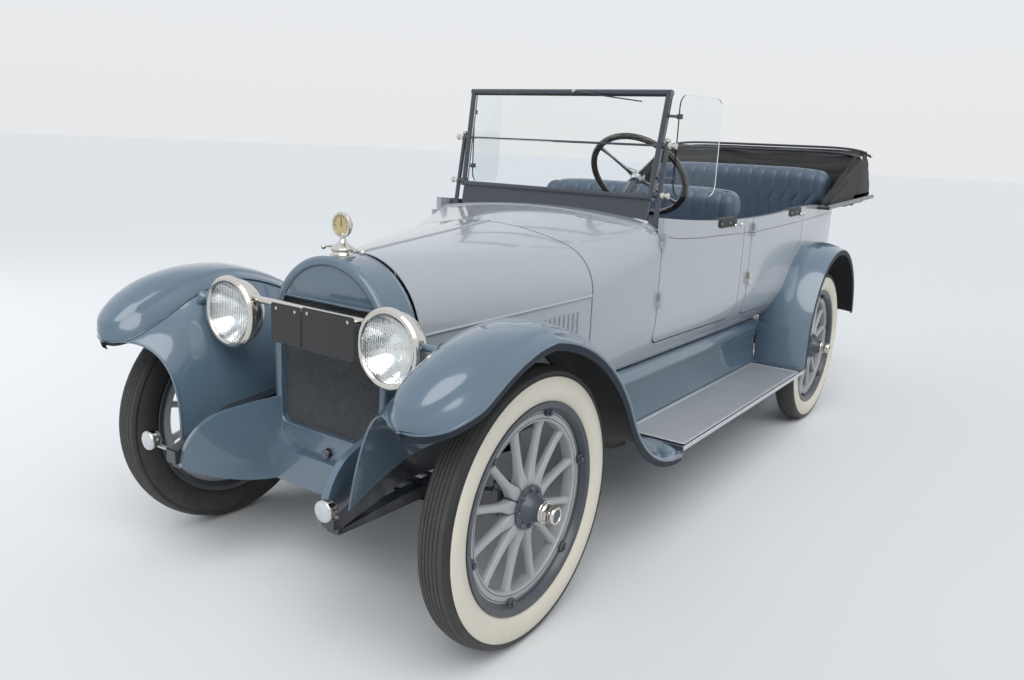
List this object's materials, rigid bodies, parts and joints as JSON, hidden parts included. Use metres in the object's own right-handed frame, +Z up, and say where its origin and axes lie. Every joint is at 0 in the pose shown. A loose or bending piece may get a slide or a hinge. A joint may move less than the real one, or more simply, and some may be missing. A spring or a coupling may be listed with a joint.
{
  "type": "touring car",
  "caption": "Open four-door touring car with wooden-spoke wheels, leaning windshield, folded top, opening doors and engine cover, steering front wheels.",
  "frame": {"origin": "on the ground under the middle of the car's overall length and width", "axes": "+Z up; the car faces -Y; +X is the car's left side"},
  "size_m": [1.676, 4.796, 1.7524],
  "materials": {
    "tyre": "matte",
    "wheel": "satin",
    "body_paint": "gloss",
    "fender_paint": "gloss",
    "chassis_paint": "satin",
    "steel": "satin",
    "nickel": "polished",
    "iron": "matte",
    "core": "matte",
    "glass": "clear",
    "seat_leather": "satin",
    "top_cloth": "matte",
    "dark_wood": "gloss"
  },
  "bodies": {
    "chassis": {"aprons": "fender_paint", "body_tub": "body_paint", "chassis_frame": "chassis_paint", "cowl": "body_paint", "dashboard": "dark_wood", "engine_block": "iron", "exhaust": "steel", "folded_top": "top_cloth", "front_axle": "chassis_paint", "front_fenders": "fender_paint", "front_seat_back": "seat_leather", "front_seat_cushion": "seat_leather", "fuel_tank": "chassis_paint", "headlamp_lenses": "glass", "headlamps": "nickel", "horn_lamps": "nickel", "lamp_bar": "nickel", "radiator_cap": "nickel", "radiator_core": "core", "radiator_shell": "fender_paint", "rear_axle": "chassis_paint", "rear_fenders": "fender_paint", "rear_seat_back": "seat_leather", "rear_seat_cushion": "seat_leather", "running_boards": "chassis_paint", "spare_tyre": "tyre", "spare_wheel": "chassis_paint", "springs": "steel", "steering_column": "steel", "top_irons": "chassis_paint", "wind_wings": "glass", "windshield_frame": "chassis_paint", "windshield_glass": "glass"},
    "knuckle_left": {"knuckle_left": "steel"},
    "knuckle_right": {"knuckle_right": "steel"},
    "wheel_front_left": {"tyre_front_left": "tyre", "wheel_front_left": "wheel"},
    "wheel_front_right": {"tyre_front_right": "tyre", "wheel_front_right": "wheel"},
    "wheel_rear_left": {"tyre_rear_left": "tyre", "wheel_rear_left": "wheel"},
    "wheel_rear_right": {"tyre_rear_right": "tyre", "wheel_rear_right": "wheel"},
    "tie_rod": {"tie_rod": "steel"},
    "steering_wheel": {"steering_wheel": "dark_wood"},
    "door_front_left": {"door_front_left": "body_paint"},
    "door_front_right": {"door_front_right": "body_paint"},
    "door_rear_left": {"door_rear_left": "body_paint"},
    "door_rear_right": {"door_rear_right": "body_paint"},
    "hood_top_left": {"hood_top_left": "body_paint"},
    "hood_top_right": {"hood_top_right": "body_paint"},
    "hood_side_left": {"hood_side_left": "body_paint"},
    "hood_side_right": {"hood_side_right": "body_paint"}
  },
  "joints": [
    {"name": "steer_left", "type": "hinge", "parent": "chassis", "child": "knuckle_left", "pos_m": [0.629, -1.862, 0.438], "axis": [0, 0, 1], "range_deg": [-30, 30]},
    {"name": "steer_right", "type": "hinge", "parent": "chassis", "child": "knuckle_right", "pos_m": [-0.629, -1.862, 0.438], "axis": [0, 0, 1], "range_deg": [-30, 30]},
    {"name": "tie_rod_slide", "type": "slide", "parent": "chassis", "child": "tie_rod", "axis": [1, 0, 0], "range_m": [-0.0787, 0.0787]},
    {"name": "steering_wheel_turn", "type": "hinge", "parent": "chassis", "child": "steering_wheel", "pos_m": [0.31, -0.452, 1.4], "axis": [0, 0.766, 0.6428], "range_deg": [-361, 361]},
    {"name": "spin_front_left", "type": "hinge", "parent": "knuckle_left", "child": "wheel_front_left", "pos_m": [0.711, -1.862, 0.438], "axis": [1, 0, 0], "continuous": true},
    {"name": "spin_rear_left", "type": "hinge", "parent": "chassis", "child": "wheel_rear_left", "pos_m": [0.711, 1.135, 0.438], "axis": [1, 0, 0], "continuous": true},
    {"name": "spin_front_right", "type": "hinge", "parent": "knuckle_right", "child": "wheel_front_right", "pos_m": [-0.711, -1.862, 0.438], "axis": [1, 0, 0], "continuous": true},
    {"name": "spin_rear_right", "type": "hinge", "parent": "chassis", "child": "wheel_rear_right", "pos_m": [-0.711, 1.135, 0.438], "axis": [1, 0, 0], "continuous": true},
    {"name": "door_front_left_hinge", "type": "hinge", "parent": "chassis", "child": "door_front_left", "pos_m": [0.604, -0.754, 1], "axis": [0, 0, -1], "range_deg": [0, 70]},
    {"name": "door_front_right_hinge", "type": "hinge", "parent": "chassis", "child": "door_front_right", "pos_m": [-0.604, -0.754, 1], "axis": [0, 0, 1], "range_deg": [0, 70]},
    {"name": "door_rear_left_hinge", "type": "hinge", "parent": "chassis", "child": "door_rear_left", "pos_m": [0.63889, 0.191, 1], "axis": [0, 0, -1], "range_deg": [0, 70]},
    {"name": "door_rear_right_hinge", "type": "hinge", "parent": "chassis", "child": "door_rear_right", "pos_m": [-0.63889, 0.191, 1], "axis": [0, 0, 1], "range_deg": [0, 70]},
    {"name": "hood_left_lift", "type": "hinge", "parent": "chassis", "child": "hood_top_left", "pos_m": [0, -1.842, 1.131], "axis": [0, -0.9948, -0.1017], "range_deg": [0, 55]},
    {"name": "hood_left_fold", "type": "hinge", "parent": "hood_top_left", "child": "hood_side_left", "pos_m": [0.272, -1.842, 0.886], "axis": [-0.3062, -0.9454, -0.1115], "range_deg": [-55.5, 0.5]},
    {"name": "hood_right_lift", "type": "hinge", "parent": "chassis", "child": "hood_top_right", "pos_m": [0, -1.842, 1.131], "axis": [0, 0.9948, 0.1017], "range_deg": [0, 55]},
    {"name": "hood_right_fold", "type": "hinge", "parent": "hood_top_right", "child": "hood_side_right", "pos_m": [-0.272, -1.842, 0.886], "axis": [-0.3062, 0.9454, 0.1115], "range_deg": [-55.5, 0.5]}
  ],
  "couplings": [
    {"joint": "steer_right", "follows": "steer_left", "ratio": 1},
    {"joint": "tie_rod_slide", "follows": "steer_left", "m_per_rad": -0.15},
    {"joint": "steering_wheel_turn", "follows": "steer_left", "ratio": 12},
    {"joint": "hood_left_fold", "follows": "hood_left_lift", "ratio": -1},
    {"joint": "hood_right_fold", "follows": "hood_right_lift", "ratio": -1}
  ]
}
